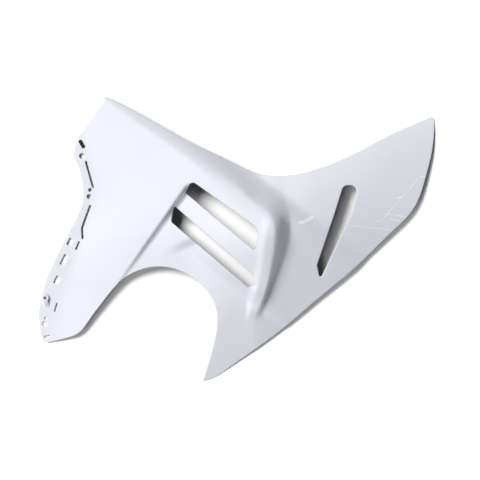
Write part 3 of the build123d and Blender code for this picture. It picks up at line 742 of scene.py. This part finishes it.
# %% [markdown]
# ## Floor and light
# The photograph has white paper under the panel and a large soft light from the front of the motorcycle,
# which is the left of the picture. Suns with a wide disc give such light evenly over the whole floor, where
# a lamp close by would fade across it. The main one stands high at the upper left. A weak one at the lower
# left shines along the wing's slot onto the floor below it. The gloss mirrors a sky that is bright to the
# front and darker to the rear, so the faces that turn away go grey. The picture is exposed for the panel's
# shaded side: the paper shows brighter to the camera than it does to the panel, and its shadows stay.

# %% The floor
FLOOR_HALF = 20.0
PAPER, PAPER_SEEN = (0.6, 0.6, 0.6, 1.0), (1.38, 1.38, 1.38, 1.0)
floor_mesh = bpy.data.meshes.new("floor")
floor_mesh.from_pydata([(-FLOOR_HALF, -FLOOR_HALF, 0.0), (FLOOR_HALF, -FLOOR_HALF, 0.0),
                        (FLOOR_HALF, FLOOR_HALF, 0.0), (-FLOOR_HALF, FLOOR_HALF, 0.0)], [], [(0, 1, 2, 3)])
floor = bpy.data.objects.new("floor", floor_mesh)
bpy.context.scene.collection.objects.link(floor)


def seen_directly(bench):
    """1 for rays from the camera, also through glass, and 0 for rays that light or mirror other things."""
    camera_ray = bench.node("ShaderNodeLightPath", output="Is Camera Ray")
    glass_ray = bench.node("ShaderNodeLightPath", output="Is Transmission Ray")
    return bench.math("MAXIMUM", camera_ray, glass_ray)


white_paper, bench, surface = new_material("white_paper")
paper = bench.node("ShaderNodeBsdfDiffuse", {}, {"Color": seen_directly(bench).mixed(PAPER, PAPER_SEEN)})
bench.tree.links.new(paper.output, bench.tree.nodes["Material Output"].inputs["Surface"])
floor_mesh.materials.append(white_paper)
print("floor", 2.0 * FLOOR_HALF, "m")

# %% The world and the suns
SKY, SKY_LEVEL, FRONT_SHINE, REAR_SHINE = (0.92, 0.98, 1.12, 1.0), 0.05, 0.95, 0.2
REAR_TURN, SUN_STAND = (-0.7, 0.6), 3.0
world = bpy.data.worlds.new("studio")
world.use_nodes = True
bpy.context.scene.world = world
bench = Socket(world.node_tree)
background = world.node_tree.nodes["Background"]
direct = seen_directly(bench)
world.node_tree.links.new(direct.mixed(SKY, (1.0, 1.0, 1.0, 1.0)).output, background.inputs["Color"])
mirrored = bench.node("ShaderNodeLightPath", output="Is Glossy Ray")
towards = bench.node("ShaderNodeTexCoord", output="Generated")
rearward = bench.node("ShaderNodeSeparateXYZ", {}, {0: towards}).step(*REAR_TURN)
shine = FRONT_SHINE + (REAR_SHINE - FRONT_SHINE) * rearward
strength = SKY_LEVEL + (1.0 - SKY_LEVEL) * direct + mirrored * (shine - SKY_LEVEL)
world.node_tree.links.new(strength.output, background.inputs["Strength"])


def wide_sun(name, towards, disc, level):
    """A sun with a disc of so many degrees that lights a surface square to it to the given level of white."""
    sun = bpy.data.lights.new(name, "SUN")
    sun.angle = np.radians(disc)
    sun.energy = level * np.pi
    stand = bpy.data.objects.new(name, sun)
    stand.location = Vector(towards).normalized() * SUN_STAND
    stand.rotation_mode = "QUATERNION"
    stand.rotation_quaternion = (-Vector(towards)).to_track_quat("-Z", "Y")
    stand.visible_glossy = False
    bpy.context.scene.collection.objects.link(stand)
    print(name, round(sun.energy, 2))


wide_sun("front_sun", (-0.465, 0.31, 0.829), 27.0, 0.965)
wide_sun("side_sun", (-0.38, -0.44, 0.814), 28.0, 0.205)

# %% [markdown]
# ## The camera
# The photograph was taken from straight above, and the panel's height hardly widens its upper parts, so the
# camera stands far off with a long lens. One picture point is 2 mm on the panel.

# %% The view from above
PICTURE, POINT, SENSOR = 480, 2.0, 36.0
CAMERA_X, CAMERA_Y, CAMERA_Z, FOCUS_Z = 0.0065, -0.002, 8.0, 0.015
camera_data = bpy.data.cameras.new("camera")
camera_data.sensor_width = SENSOR
camera_data.lens = SENSOR * (CAMERA_Z - FOCUS_Z) / (PICTURE * POINT * METRE)
camera_data.clip_end = 100.0
camera = bpy.data.objects.new("camera", camera_data)
camera.location = (CAMERA_X, CAMERA_Y, CAMERA_Z)
bpy.context.scene.collection.objects.link(camera)
bpy.context.scene.camera = camera
bpy.context.scene.view_settings.view_transform = "Standard"
print("lens", round(camera_data.lens, 1), "mm")
